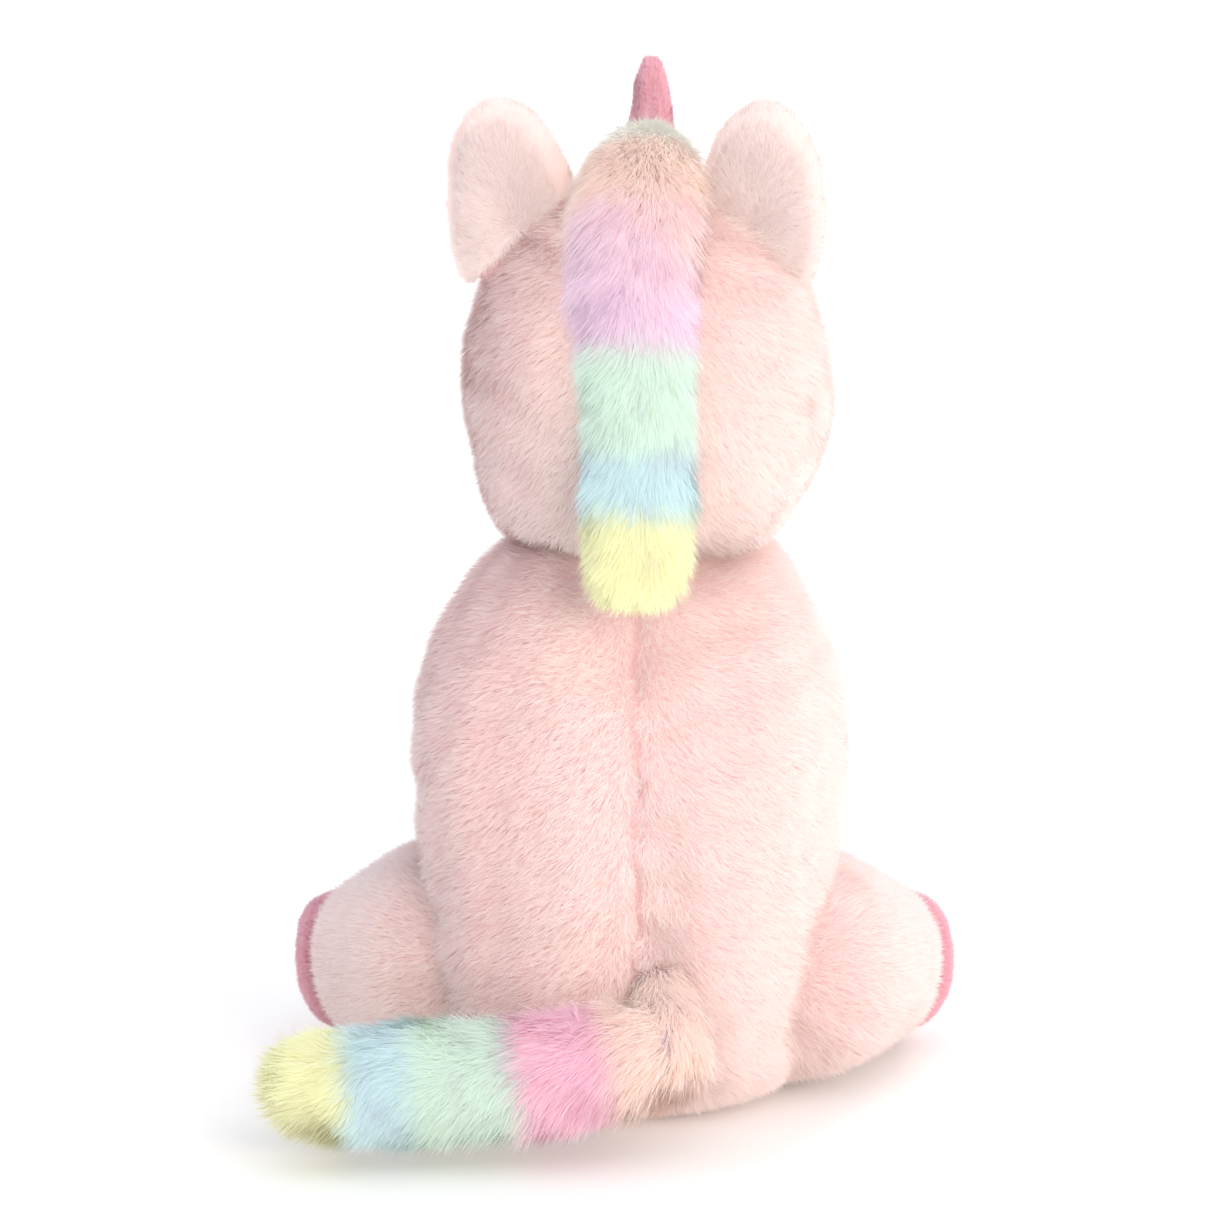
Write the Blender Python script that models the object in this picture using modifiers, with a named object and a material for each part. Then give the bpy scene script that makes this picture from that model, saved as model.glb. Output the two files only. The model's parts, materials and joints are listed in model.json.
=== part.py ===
"""Plush unicorn, sitting: sewn plush covers over fibre stuffing, with soft sewn joints.

Metres, +Z up. The toy faces -Y and its own left side is +X. The origin is on the floor under
the middle of the seat. Run it with: blender --background --python part.py
"""

import math

import bmesh
import bpy
import numpy as np
from mathutils import Matrix, Vector

# ---------------------------------------------------------------- driving dimensions (metres)
FABRIC = 0.003  # plush cloth with its pile pressed flat
GAP = 0.0006  # between a cover and its stuffing
SEAM_GAP = 0.0006  # half the gap between two panels that are sewn together
REST_GAP = 0.0005  # between two pieces that touch

BODY_SEGMENTS, HEAD_SEGMENTS = 22, 20
BODY_DEPTH_RATIO = 0.95  # front-to-back over side-to-side
HEAD_DEPTH_RATIO = 0.98
HEAD_CENTRE_Y = -0.004
BODY_RIM_Z = 0.151  # top edge of the body covers
HEAD_RIM_Z = 0.163  # bottom edge of the head covers
SIDE_SEAM_Y = -0.010  # the belly panel is sewn to the back panels here

# Half width of the body and of the skull at a height: (z, half width).
BODY_PROFILE = [
    (-0.006, 0.0), (-0.003, 0.030), (0.000, 0.042), (0.004, 0.0465), (0.012, 0.0515),
    (0.025, 0.0555), (0.040, 0.0583), (0.055, 0.0588), (0.070, 0.0588), (0.084, 0.0595),
    (0.096, 0.0608), (0.113, 0.0600), (0.128, 0.0563), (0.139, 0.0515), (0.150, 0.0453),
    (0.160, 0.038), (0.168, 0.028), (0.173, 0.0),
]  # fmt: skip
HEAD_PROFILE = [
    (0.150, 0.0), (0.155, 0.028), (0.1615, 0.0375), (0.1685, 0.042), (0.180, 0.047),
    (0.192, 0.050), (0.204, 0.0514), (0.216, 0.051), (0.230, 0.0475), (0.240, 0.0425),
    (0.250, 0.035), (0.258, 0.025), (0.263, 0.014), (0.265, 0.0),
]  # fmt: skip

NECK = Vector((0.0, -0.002, 0.160))
NECK_WAD_RADII = Vector((0.0326, 0.0326, 0.0326))  # a ball, so the head can turn and nod on it
NECK_SOCKET_RADII = Vector((0.0346, 0.0346, 0.0346))
NECK_THREAD_RADIUS = 0.0008

MUZZLE_CENTRE = Vector((0.0, -0.046, 0.191))
MUZZLE_RADII = Vector((0.029, 0.027, 0.023))

EYE_PLACE = Vector((0.025, 0.0, 0.212))  # y comes from the skull's surface
EYE_RADIUS = 0.0065
SHANK_RADIUS, SHANK_LENGTH = 0.0015, 0.011
WASHER_RADIUS, WASHER_THICKNESS = 0.0065, 0.0014

EAR_CENTRE = Vector((0.035, 0.002, 0.256))
EAR_RADII = Vector((0.0175, 0.0065, 0.031))
EAR_CLEARANCE = 0.0035  # room under the ear for its fold

HORN_BASE = Vector((0.0, -0.0335, 0.243))
HORN_TIP = Vector((0.0, -0.0430, 0.2892))
HORN_RADII = [0.0105, 0.0100, 0.0088, 0.0075, 0.0062, 0.0053, 0.0044, 0.0022]
HORN_CLEARANCE = 0.0025

MANE_WIDTH_RATIO = 1.12  # side-to-side over thickness
MANE_TIP_WIDTH_RATIO = 1.55

TAIL_PIVOT = Vector((0.0, 0.070, 0.028))
TAIL_RADII = [0.0145, 0.0160, 0.0175, 0.0185, 0.0190, 0.0190, 0.0190, 0.0185, 0.0150]

HIP = Vector((0.046, -0.012, 0.0365))
HIP_RADIUS = 0.032
HIP_TURN = (-4, 25)  # degrees about +Z for the left leg, inwards and outwards
SHOULDER = Vector((0.0400, -0.0610, 0.112))
SHOULDER_RADIUS = 0.0143

POUCH_CENTRE = Vector((0.0, 0.022, 0.0155))
POUCH_RADII = Vector((0.027, 0.019, 0.0115))

# ---------------------------------------------------------------- colours
PINK = (0.92, 0.67, 0.66)
ROSE = (0.78, 0.30, 0.38)
MANE_COLOUR = (0.80, 0.66, 0.80)
TAIL_COLOUR = (0.66, 0.84, 0.72)
FIBRE = (0.93, 0.93, 0.91)
BLACK = (0.01, 0.01, 0.012)


# ---------------------------------------------------------------- scene and materials
def clear_scene():
    for obj in list(bpy.data.objects):
        bpy.data.objects.remove(obj)


def collection(name):
    made = bpy.data.collections.new(name)
    bpy.context.scene.collection.children.link(made)
    return made


def material(name, colour, roughness, metallic=0.0):
    made = bpy.data.materials.new(name)
    made.use_nodes = True
    shader = made.node_tree.nodes["Principled BSDF"]
    shader.inputs["Base Color"].default_value = (*colour, 1.0)
    shader.inputs["Roughness"].default_value = roughness
    shader.inputs["Metallic"].default_value = metallic
    return made


clear_scene()
PARTS = collection("plush_unicorn")
CUTTERS = collection("cutters")
PINK_PLUSH = material("pink_plush", PINK, 0.9)
ROSE_PLUSH = material("rose_plush", ROSE, 0.85)
MANE_FUR = material("mane_fur", MANE_COLOUR, 0.8)
TAIL_FUR = material("tail_fur", TAIL_COLOUR, 0.8)
STUFFING = material("stuffing", FIBRE, 1.0)
THREAD = material("thread", ROSE, 0.7)
EYE_PLASTIC = material("eye_plastic", BLACK, 0.12)
WASHER_PLASTIC = material("washer_plastic", (0.85, 0.85, 0.85), 0.4)
POUCH_CLOTH = material("pouch_cloth", (0.85, 0.84, 0.80), 0.9)
PELLET_PLASTIC = material("pellet_plastic", (0.80, 0.82, 0.85), 0.4)


# ---------------------------------------------------------------- mesh helpers
def add_part(name, mesh, made_of):
    obj = bpy.data.objects.new(name, mesh)
    mesh.materials.clear()
    mesh.materials.append(made_of)
    PARTS.objects.link(obj)
    return obj


def add_cutter(name, mesh):
    obj = bpy.data.objects.new(name, mesh)
    obj.hide_render = True
    obj.display_type = "WIRE"
    CUTTERS.objects.link(obj)
    return obj


def to_mesh(name, bm):
    bmesh.ops.recalc_face_normals(bm, faces=bm.faces)
    mesh = bpy.data.meshes.new(name)
    bm.to_mesh(mesh)
    bm.free()
    return mesh


def from_mesh(mesh):
    bm = bmesh.new()
    bm.from_mesh(mesh)
    return bm


def value_at(profile, z):
    return float(np.interp(z, [p[0] for p in profile], [p[1] for p in profile]))


def grown(mesh, name, by):
    """A copy of a closed mesh with its surface moved out by this much, or in if negative."""
    bm = from_mesh(mesh)
    bm.normal_update()
    moves = [(v, v.normal.copy()) for v in bm.verts]
    for vertex, normal in moves:
        vertex.co += normal * by
    return to_mesh(name, bm)


def mirrored(mesh, name):
    """The same piece on the toy's other side."""
    bm = from_mesh(mesh)
    bmesh.ops.transform(bm, matrix=Matrix.Scale(-1, 4, (1, 0, 0)), verts=bm.verts)
    return to_mesh(name, bm)


def trimmed(mesh, name, planes, fill=False):
    """The part of a mesh behind every plane, given as (point, direction that is cut away)."""
    bm = from_mesh(mesh)
    for point, away in planes:
        cut = bmesh.ops.bisect_plane(
            bm, geom=[*bm.verts, *bm.edges, *bm.faces], plane_co=point, plane_no=away, clear_outer=True
        )
        if fill:
            edges = [e for e in cut["geom_cut"] if isinstance(e, bmesh.types.BMEdge)]
            bmesh.ops.edgeloop_fill(bm, edges=edges)
    bmesh.ops.remove_doubles(bm, verts=bm.verts, dist=1e-6)
    mesh = bpy.data.meshes.new(name)
    bm.to_mesh(mesh)
    bm.free()
    return mesh


def soft_form(name, profile, depth_ratio, centre_y, segments):
    """A closed rounded form: a sphere whose rings take their height and width from a profile."""
    rings = len(profile) - 1
    bm = bmesh.new()
    bmesh.ops.create_uvsphere(bm, u_segments=segments, v_segments=rings, radius=1.0)
    for vertex in bm.verts:
        share = math.acos(max(-1.0, min(1.0, -vertex.co.z))) / math.pi
        z, width = profile[round(share * rings)]
        around = Vector((vertex.co.x, vertex.co.y)).normalized() if width > 0 else Vector((0, 0))
        vertex.co = (around.x * width, centre_y + around.y * width * depth_ratio, z)
    return to_mesh(name, bm)


def ellipsoid(name, centre, radii, segments, rings):
    bm = bmesh.new()
    bmesh.ops.create_uvsphere(bm, u_segments=segments, v_segments=rings, radius=1.0)
    place = Matrix.Translation(centre) @ Matrix.Diagonal((*radii, 1.0))
    bmesh.ops.transform(bm, matrix=place, verts=bm.verts)
    return to_mesh(name, bm)


def rod(name, start, end, radius, segments=12):
    """A closed cylinder between two points."""
    axis = end - start
    turn = axis.to_track_quat("Z", "Y").to_matrix().to_4x4()
    bm = bmesh.new()
    bmesh.ops.create_cone(
        bm,
        cap_ends=True,
        segments=segments,
        radius1=radius,
        radius2=radius,
        depth=axis.length,
        matrix=Matrix.Translation((start + end) / 2) @ turn,
    )
    return to_mesh(name, bm)


def tube(name, centres, radii, sides, capped, width_ratio=1.0):
    """A tube through these centres with a radius at each, from a bevelled curve. sides is even, from 4 up."""
    curve = bpy.data.curves.new(name, "CURVE")
    curve.dimensions = "3D"
    curve.bevel_depth = 1.0
    curve.bevel_resolution = sides // 2 - 2
    curve.use_fill_caps = capped
    spline = curve.splines.new("POLY")
    spline.points.add(len(centres) - 1)
    for point, centre, radius in zip(spline.points, centres, radii):
        point.co = (*centre, 1.0)
        point.radius = radius
    guide = bpy.data.objects.new(name, curve)
    CUTTERS.objects.link(guide)
    bpy.context.view_layer.update()
    graph = bpy.context.evaluated_depsgraph_get()
    mesh = bpy.data.meshes.new_from_object(guide.evaluated_get(graph))
    bpy.data.objects.remove(guide)
    bm = from_mesh(mesh)
    bmesh.ops.remove_doubles(bm, verts=bm.verts, dist=1e-6)
    for vertex in bm.verts:
        vertex.co.x *= width_ratio
    return to_mesh(name, bm)


def thicken(obj, thickness=FABRIC):
    """An open surface becomes cloth, with its thickness on the inside."""
    cloth = obj.modifiers.new("cloth", "SOLIDIFY")
    cloth.thickness = thickness
    cloth.offset = -1.0


def cut(obj, *cutters):
    for cutter in cutters:
        hollow = obj.modifiers.new("cut_" + cutter.name, "BOOLEAN")
        hollow.operation = "DIFFERENCE"
        hollow.object = cutter


def join(obj, other):
    both = obj.modifiers.new("join_" + other.name, "BOOLEAN")
    both.operation = "UNION"
    both.object = other


def side(name, mirror):
    return name + ("_right" if mirror else "_left")


def on_side(mesh, name, mirror):
    return mirrored(mesh, name) if mirror else mesh.copy()


# ---------------------------------------------------------------- limb paths
def bezier(points, t):
    """A point on the curve that these control points shape."""
    points = [Vector(p) for p in points]
    while len(points) > 1:
        points = [a.lerp(b, t) for a, b in zip(points, points[1:])]
    return points[0]


def round_root(centre, radius, direction, steps=4, open_at=78):
    """Centres and radii of the rounded end that turns in a socket, up to but not with its widest ring."""
    centres, radii = [], []
    for k in range(steps):
        angle = math.radians(open_at * (1 - k / steps))
        centres.append(centre - direction * radius * math.sin(angle))
        radii.append(radius * math.cos(angle))
    return centres, radii


class Limb:
    """A leg: a rounded root, a tapering shaft along a curve, and a hoof with a flat sole at its end."""

    def __init__(self, name, controls, radii, hoof_from, sides, rings):
        self.name, self.radii, self.sides = name, radii, sides
        self.path = [bezier(controls, k / rings) for k in range(rings + 1)]
        self.shares = [k / rings for k in range(rings + 1)]
        self.hoof = bezier(controls, hoof_from)
        self.end = self.path[-1]
        self.hoof_direction = (bezier(controls, hoof_from + 0.02) - self.hoof).normalized()
        self.end_direction = (self.end - bezier(controls, 0.98)).normalized()

    def form(self, outset=0.0):
        """The whole leg as one closed solid."""
        start_direction = (self.path[1] - self.path[0]).normalized()
        centres, radii = round_root(self.path[0], value_at(self.radii, 0.0), start_direction)
        centres += self.path
        radii += [value_at(self.radii, share) for share in self.shares]
        centres.append(self.end + self.end_direction * FABRIC * 0.6)
        radii.append(radii[-1] - FABRIC * 0.6)
        return tube(self.name, centres, [r + outset for r in radii], self.sides, capped=True)

    def build(self, mirror):
        label = side(self.name, mirror)
        form = self.form()
        ahead, tip = self.hoof_direction, self.end_direction
        step = ahead * SEAM_GAP
        sole_plane = self.end + tip * FABRIC * 0.5
        pieces = {
            "_cover": ([(self.hoof - step, ahead)], PINK_PLUSH),
            "_hoof": ([(self.hoof + step, -ahead), (sole_plane, tip)], ROSE_PLUSH),
        }
        for ending, (planes, made_of) in pieces.items():
            mesh = trimmed(form, label + ending, planes)
            thicken(add_part(label + ending, on_side(mesh, label + ending, mirror), made_of))

        sole_radius = value_at(self.radii, 1.0) - FABRIC * 2
        sole = rod("sole", self.end - tip * FABRIC, self.end + tip * FABRIC * 0.4, sole_radius, self.sides)
        add_part(label + "_sole", on_side(sole, "sole", mirror), ROSE_PLUSH)

        inner = grown(form, "filling", -(FABRIC + GAP))
        behind_sole = [(self.end - tip * (FABRIC + GAP), tip)]
        filling = trimmed(inner, "filling", behind_sole, fill=True)
        add_part(label + "_stuffing", on_side(filling, "filling", mirror), STUFFING)


HIND_LEG = Limb(
    "hind_leg",
    [HIP, (0.060, -0.046, 0.027), (0.0875, -0.057, 0.0215)],
    [(0.0, HIP_RADIUS), (0.2, 0.0305), (0.4, 0.0275), (0.6, 0.0248), (0.8, 0.0222), (1.0, 0.0195)],
    hoof_from=0.83,
    sides=16,
    rings=6,
)
FRONT_LEG = Limb(
    "front_leg",
    [SHOULDER, (0.041, -0.068, 0.088), (0.035, -0.076, 0.058), (0.028, -0.0755, 0.0045)],
    [(0.0, SHOULDER_RADIUS), (0.5, 0.0142), (0.8, 0.0146), (1.0, 0.0142)],
    hoof_from=0.84,
    sides=12,
    rings=7,
)


def leg_recess(mirror):
    """The hollow in the body that a hind leg's root turns in.

    It is one hull round the leg at several angles across its travel.
    """
    form = HIND_LEG.form(outset=REST_GAP * 2)
    bm = bmesh.new()
    for degrees in (*HIP_TURN, 0, sum(HIP_TURN) / 2):
        spin = Matrix.Rotation(math.radians(degrees), 4, "Z")
        turn = Matrix.Translation(HIP) @ spin @ Matrix.Translation(-HIP)
        for vertex in form.vertices:
            bm.verts.new(turn @ vertex.co)
    bmesh.ops.convex_hull(bm, input=bm.verts)
    bmesh.ops.delete(bm, geom=[v for v in bm.verts if not v.link_faces], context="VERTS")
    bmesh.ops.dissolve_limit(bm, angle_limit=math.radians(3), verts=bm.verts, edges=bm.edges)
    bmesh.ops.triangulate(bm, faces=bm.faces)
    mesh = to_mesh("leg_recess", bm)
    return add_cutter(side("hip_recess", mirror), on_side(mesh, "hip_recess", mirror))


# ---------------------------------------------------------------- body
BODY_FORM = soft_form("body_form", BODY_PROFILE, BODY_DEPTH_RATIO, 0.0, BODY_SEGMENTS)
HEAD_FORM = soft_form("head_form", HEAD_PROFILE, HEAD_DEPTH_RATIO, HEAD_CENTRE_Y, HEAD_SEGMENTS)
MUZZLE_FORM = ellipsoid("muzzle_form", MUZZLE_CENTRE, MUZZLE_RADII, 14, 9)


def build_body():
    recesses = [leg_recess(False), leg_recess(True)]
    floor, rim = (Vector((0, 0, 0)), Vector((0, 0, -1))), (Vector((0, 0, BODY_RIM_Z)), Vector((0, 0, 1)))
    seam = Vector((SEAM_GAP, 0, 0))
    front_edge = Vector((0, SIDE_SEAM_Y - SEAM_GAP, 0))
    back_edge = Vector((0, SIDE_SEAM_Y + SEAM_GAP, 0))
    panels = {
        "body_back_left": [(seam, Vector((-1, 0, 0))), (back_edge, Vector((0, -1, 0)))],
        "body_back_right": [(-seam, Vector((1, 0, 0))), (back_edge, Vector((0, -1, 0)))],
        "belly_panel": [(front_edge, Vector((0, 1, 0)))],
    }
    for name, planes in panels.items():
        panel = add_part(name, trimmed(BODY_FORM, name, [floor, rim, *planes]), PINK_PLUSH)
        thicken(panel)
        cut(panel, *recesses)

    seat_radius = value_at(BODY_PROFILE, 0.0) - FABRIC
    bm = bmesh.new()
    bmesh.ops.create_cone(
        bm,
        cap_ends=True,
        segments=BODY_SEGMENTS,
        radius1=seat_radius,
        radius2=seat_radius,
        depth=FABRIC,
        matrix=Matrix.Translation((0, 0, FABRIC / 2)) @ Matrix.Diagonal((1, BODY_DEPTH_RATIO, 1, 1)),
    )
    seat = add_part("seat_panel", to_mesh("seat_panel", bm), PINK_PLUSH)
    cut(seat, *recesses)

    inner = grown(BODY_FORM, "body_inner", -(FABRIC + GAP))
    above_seat = (Vector((0, 0, FABRIC + GAP)), Vector((0, 0, -1)))
    packed = trimmed(inner, "body_stuffing", [above_seat, rim], fill=True)
    filling = add_part("body_stuffing", packed, STUFFING)
    neck_socket = add_cutter("neck_socket", ellipsoid("neck_socket", NECK, NECK_SOCKET_RADII, 16, 10))
    pouch_recess = add_cutter(
        "pouch_recess",
        ellipsoid("pouch_recess", POUCH_CENTRE, POUCH_RADII + Vector([GAP * 3] * 3), 12, 8),
    )
    pouch_floor = add_cutter(
        "pouch_floor", rod("pouch_floor", POUCH_CENTRE * 1.0, Vector((0, POUCH_CENTRE.y, -0.004)), 0.012, 12)
    )
    cut(filling, *recesses, neck_socket, pouch_recess, pouch_floor)

    pouch_form = ellipsoid("pouch", POUCH_CENTRE, POUCH_RADII, 12, 8)
    mouth = (POUCH_CENTRE + Vector((0, 0, POUCH_RADII.z * 0.94)), Vector((0, 0, 1)))
    pouch = add_part("pellet_pouch", trimmed(pouch_form, "pellet_pouch", [mouth]), POUCH_CLOTH)
    thicken(pouch, FABRIC * 0.3)
    fill_radii = POUCH_RADII - Vector([FABRIC * 0.3 + GAP] * 3)
    level = (POUCH_CENTRE + Vector((0, 0, POUCH_RADII.z * 0.6)), Vector((0, 0, 1)))
    lump = ellipsoid("pellets", POUCH_CENTRE, fill_radii, 12, 8)
    add_part("pellets", trimmed(lump, "pellets", [level], fill=True), PELLET_PLASTIC)

    thread_major = value_at(BODY_PROFILE, BODY_RIM_Z) - FABRIC / 2
    ring = [
        Vector((thread_major * math.cos(a), thread_major * BODY_DEPTH_RATIO * math.sin(a), 0))
        for a in np.linspace(0, 2 * math.pi, 23)[:-1]
    ]
    curve = bpy.data.curves.new("neck_thread", "CURVE")
    curve.dimensions = "3D"
    curve.bevel_depth = NECK_THREAD_RADIUS
    curve.bevel_resolution = 1
    spline = curve.splines.new("POLY")
    spline.points.add(len(ring) - 1)
    for point, place in zip(spline.points, ring):
        point.co = (*place, 1.0)
    spline.use_cyclic_u = True
    curve.materials.append(THREAD)
    thread = bpy.data.objects.new("neck_thread", curve)
    thread.location = (0, 0, BODY_RIM_Z + NECK_THREAD_RADIUS + REST_GAP)
    PARTS.objects.link(thread)


# ---------------------------------------------------------------- head
def skull_surface_y(x, z):
    """The front of the skull at this width and height."""
    width = value_at(HEAD_PROFILE, z)
    return HEAD_CENTRE_Y - HEAD_DEPTH_RATIO * math.sqrt(max(width * width - x * x, 0.0))


def eye_frame():
    """Where the left eye sits on the skull and which way it looks."""
    place = EYE_PLACE.copy()
    place.y = skull_surface_y(place.x, place.z)
    width = value_at(HEAD_PROFILE, place.z)
    outward = Vector((place.x / width**2, (place.y - HEAD_CENTRE_Y) / (width * HEAD_DEPTH_RATIO) ** 2, 0.0))
    return place, outward.normalized()


def build_eye(mirror):
    """A safety eye: dome and shank in one piece, and the washer that locks it behind the cloth."""
    place, outward = eye_frame()
    back = place + outward * REST_GAP
    turn = outward.to_track_quat("Z", "Y").to_matrix().to_4x4()
    dome = ellipsoid("dome", Vector((0, 0, 0)), Vector((EYE_RADIUS, EYE_RADIUS, EYE_RADIUS * 0.7)), 12, 8)
    dome = trimmed(dome, "dome", [(Vector((0, 0, 0)), Vector((0, 0, -1)))], fill=True)
    dome.transform(Matrix.Translation(back) @ turn)
    shank = rod("shank", back + outward * EYE_RADIUS * 0.3, back - outward * SHANK_LENGTH, SHANK_RADIUS, 8)
    eye = add_part(side("eye", mirror), on_side(dome, "eye", mirror), EYE_PLASTIC)
    join(eye, add_cutter(side("shank", mirror), on_side(shank, "shank", mirror)))

    inside = place - outward * (FABRIC + GAP * 4)
    hole = rod("hole", place + outward * FABRIC, place - outward * SHANK_LENGTH * 1.4, SHANK_RADIUS + GAP, 10)
    hole_cutter = add_cutter(side("shank_hole", mirror), on_side(hole, "hole", mirror))
    disc = rod("washer", inside, inside - outward * WASHER_THICKNESS, WASHER_RADIUS, 14)
    washer = add_part(side("eye_washer", mirror), on_side(disc, "washer", mirror), WASHER_PLASTIC)
    cut(washer, hole_cutter)
    pocket = rod(
        "pocket",
        place + outward * FABRIC,
        place - outward * (SHANK_LENGTH + GAP * 2),
        WASHER_RADIUS + GAP * 2,
        14,
    )
    return hole_cutter, add_cutter(side("eye_pocket", mirror), on_side(pocket, "pocket", mirror))


def build_head():
    rim = (Vector((0, 0, HEAD_RIM_Z)), Vector((0, 0, -1)))
    muzzle_hole = add_cutter("muzzle_hole", grown(MUZZLE_FORM, "muzzle_hole", SEAM_GAP))
    skull = add_cutter("skull", grown(HEAD_FORM, "skull", SEAM_GAP))
    holes, pockets = zip(*(build_eye(mirror) for mirror in (False, True)))
    for name, direction, hole in (("head_left", 1, holes[0]), ("head_right", -1, holes[1])):
        seam = (Vector((direction * SEAM_GAP, 0, 0)), Vector((-direction, 0, 0)))
        panel = add_part(name, trimmed(HEAD_FORM, name, [rim, seam]), PINK_PLUSH)
        thicken(panel)
        cut(panel, muzzle_hole, hole)

    open_back = (MUZZLE_CENTRE + Vector((0, 0.016, 0)), Vector((0, 1, 0)))
    muzzle = add_part("muzzle_cover", trimmed(MUZZLE_FORM, "muzzle_cover", [open_back]), PINK_PLUSH)
    thicken(muzzle)
    cut(muzzle, skull)

    inner = grown(HEAD_FORM, "head_inner", -(FABRIC + GAP))
    filling = add_part("head_stuffing", trimmed(inner, "head_stuffing", [rim], fill=True), STUFFING)
    join(filling, add_cutter("snout_filling", grown(MUZZLE_FORM, "snout_filling", -(FABRIC + GAP))))
    head_socket = add_cutter("head_socket", ellipsoid("head_socket", NECK, NECK_SOCKET_RADII, 16, 10))
    cut(filling, head_socket, *pockets)

    add_part("neck_wad", ellipsoid("neck_wad", NECK, NECK_WAD_RADII, 16, 10), STUFFING)


def muzzle_point(x, z, lift):
    """A point on the front of the muzzle at this width and height, lifted off its surface."""
    dx, dz = (x - MUZZLE_CENTRE.x) / MUZZLE_RADII.x, (z - MUZZLE_CENTRE.z) / MUZZLE_RADII.z
    depth = math.sqrt(max(1 - dx * dx - dz * dz, 0.0))
    unit = Vector((dx, -depth, dz))
    normal = Vector((unit.x / MUZZLE_RADII.x, unit.y / MUZZLE_RADII.y, unit.z / MUZZLE_RADII.z)).normalized()
    return MUZZLE_CENTRE + Vector(a * b for a, b in zip(unit, MUZZLE_RADII)) + normal * lift


def build_stitched_face():
    """The embroidered nostrils and smile."""
    lift = 0.0011
    for mirror in (False, True):
        place = muzzle_point(0.010, 0.198, lift)
        pad = ellipsoid("nostril", Vector((0, 0, 0)), Vector((0.0024, 0.0009, 0.0017)), 10, 6)
        facing = muzzle_point(0.010, 0.198, 0.01) - place
        pad.transform(Matrix.Translation(place) @ facing.to_track_quat("-Y", "Z").to_matrix().to_4x4())
        add_part(side("nostril", mirror), on_side(pad, "nostril", mirror), THREAD)
    smile = []
    for angle in np.linspace(-58, 58, 9):
        x = 0.0125 * math.sin(math.radians(angle))
        z = 0.1905 - 0.0085 * math.cos(math.radians(angle))
        smile.append(muzzle_point(x, z, lift))
    mesh = tube("mouth_stitch", smile, [0.0007] * len(smile), 6, capped=True)
    add_part("mouth_stitch", mesh, THREAD)


def build_ear(mirror, skull_room):
    """Two layers of cloth, sewn round the edge: plush behind, lining in front."""
    form = ellipsoid("ear", EAR_CENTRE, EAR_RADII, 14, 10)
    y = EAR_CENTRE.y
    back = trimmed(form, "ear_back", [(Vector((0, y + SEAM_GAP, 0)), Vector((0, -1, 0)))], fill=True)
    lining = trimmed(form, "ear_lining", [(Vector((0, y - SEAM_GAP, 0)), Vector((0, 1, 0)))], fill=True)
    for mesh, name, made_of in ((back, "ear_back", PINK_PLUSH), (lining, "ear_lining", ROSE_PLUSH)):
        piece = add_part(side(name, mirror), on_side(mesh, name, mirror), made_of)
        cut(piece, skull_room)


def build_horn():
    steps = len(HORN_RADII) - 1
    centres = [HORN_BASE.lerp(HORN_TIP, k / steps) for k in range(steps + 1)]
    room = add_cutter("horn_room", grown(HEAD_FORM, "horn_room", HORN_CLEARANCE))
    cover = add_part("horn_cover", tube("horn_cover", centres, HORN_RADII, 12, capped=True), ROSE_PLUSH)
    thicken(cover, FABRIC * 0.5)
    cut(cover, room)
    inset = FABRIC * 0.5 + GAP
    core_radii = [r - inset for r in HORN_RADII[:-1]]
    core = add_part("horn_stuffing", tube("horn_core", centres[:-1], core_radii, 10, capped=True), STUFFING)
    cut(core, room)


def build_mane():
    """Long fur on a strip: sewn to the head from behind the horn to the nape, then hanging free."""
    strip = [(-0.0215, 0.263), (-0.018, 0.2665), (-0.010, 0.270), (0.003, 0.271), (0.017, 0.268),
             (0.030, 0.259), (0.040, 0.246), (0.047, 0.230), (0.051, 0.214), (0.0525, 0.2005),
             (0.0525, 0.1965)]  # fmt: skip
    thickness = [0.005, 0.0095, 0.0115, 0.012, 0.0125, 0.0125, 0.0125, 0.0125, 0.0125, 0.0115, 0.009]
    centres = [Vector((0, y, z)) for y, z in strip]
    mesh = tube("mane_strip", centres, thickness, 12, capped=True, width_ratio=MANE_WIDTH_RATIO)
    mane = add_part("mane_strip", mesh, MANE_FUR)
    cut(mane, bpy.data.objects["skull"])

    tip = [(0.0535, 0.1935), (0.054, 0.189), (0.0565, 0.180), (0.0590, 0.170), (0.0610, 0.162),
           (0.062, 0.156), (0.062, 0.1525)]  # fmt: skip
    thickness = [0.003, 0.0080, 0.0088, 0.0088, 0.0085, 0.0068, 0.0035]
    centres = [Vector((0, y, z)) for y, z in tip]
    mesh = tube("mane_tip", centres, thickness, 12, capped=True, width_ratio=MANE_TIP_WIDTH_RATIO)
    add_part("mane_tip", mesh, MANE_FUR)


# ---------------------------------------------------------------- tail
def tail_path(shorten=0.0):
    """Down from the seat's back seam and round to the toy's left along the floor."""
    controls = [TAIL_PIVOT, (0.018, 0.078, 0.0195), (0.055, 0.080, 0.0195), (0.101 - shorten, 0.073, 0.0195)]
    return [bezier(controls, t) for t in np.linspace(0, 1, 9)]


def build_tail():
    centres = tail_path()
    direction = (centres[1] - centres[0]).normalized()
    root = round_root(centres[0], TAIL_RADII[0], direction, steps=3)
    tip = centres[-1] + (centres[-1] - centres[-2]).normalized() * 0.0045
    form = tube("tail_form", root[0] + centres + [tip], root[1] + TAIL_RADII + [0.008], 12, capped=True)
    sewn_end = (centres[0] - direction * TAIL_RADII[0] * 0.7, -direction)
    cover = add_part("tail_cover", trimmed(form, "tail_cover", [sewn_end]), TAIL_FUR)
    thicken(cover, FABRIC * 2)
    core_radii = [r - FABRIC * 2 - GAP for r in TAIL_RADII]
    core = tube("tail_stuffing", tail_path(0.004), core_radii, 10, capped=True)
    add_part("tail_stuffing", core, STUFFING)


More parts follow.
